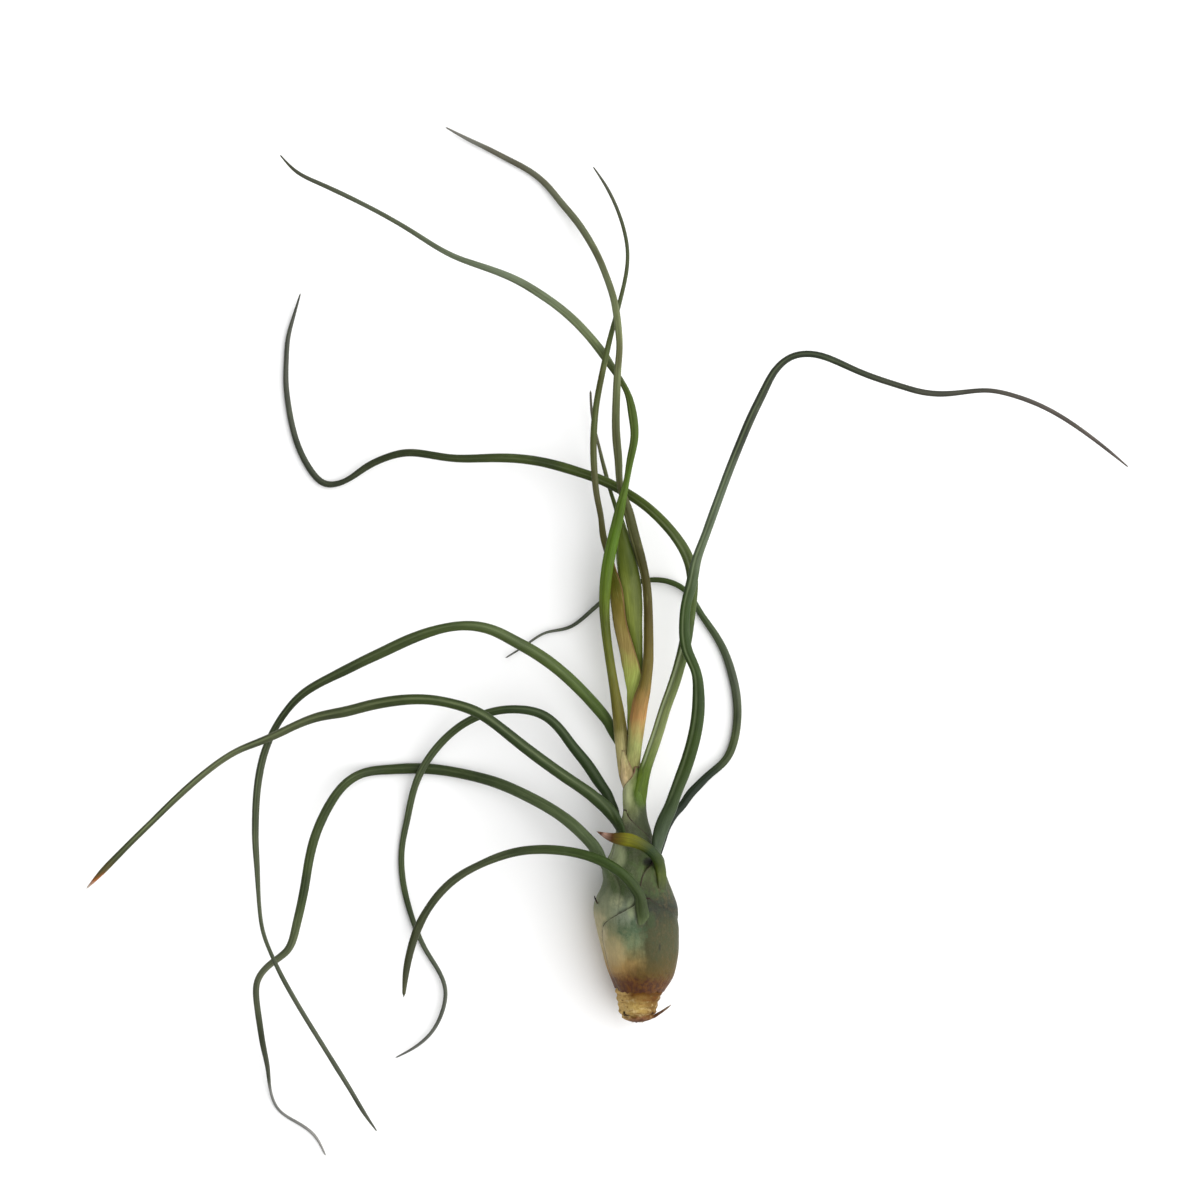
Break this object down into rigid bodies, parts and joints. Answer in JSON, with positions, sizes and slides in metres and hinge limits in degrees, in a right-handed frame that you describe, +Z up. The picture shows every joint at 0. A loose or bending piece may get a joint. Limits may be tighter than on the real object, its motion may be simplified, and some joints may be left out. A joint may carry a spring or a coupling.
{
  "type": "bulbous air plant",
  "caption": "Air plant lying on its side: a bulb of overlapping leaf sheaths tapering to a neck, with long rolled blades that curl away and a young flower spike.",
  "frame": {"origin": "under the middle of the whole plant's bounding box, on the surface that the plant lies on", "axes": "+Z up from the surface; the bulb's axis runs along Y, with the bulb's base towards -Y and the leaves towards +Y"},
  "size_m": [0.2784, 0.2801, 0.0309],
  "materials": {
    "stem": "matte",
    "root": "matte",
    "old_leaf": "matte",
    "leaf_grey_green": "matte",
    "leaf_green": "satin",
    "bract_tan": "satin",
    "floral_bract": "satin"
  },
  "bodies": {
    "root": {"stem": "stem", "root": "root", "old_leaf_base": "old_leaf", "leaf_front": "leaf_grey_green", "leaf_stub": "leaf_grey_green", "leaf_left": "leaf_green", "leaf_right_low": "leaf_green", "leaf_right_tall": "leaf_green", "leaf_long_left": "leaf_green", "leaf_curl": "leaf_green", "leaf_back": "leaf_green", "leaf_neck": "leaf_green", "bract_left": "leaf_green", "bract_right": "bract_tan", "bract_back": "bract_tan", "floral_bract_long": "floral_bract", "floral_bract_lower": "floral_bract", "floral_bract_side": "floral_bract", "floral_bract_tip": "floral_bract"}
  },
  "joints": []
}
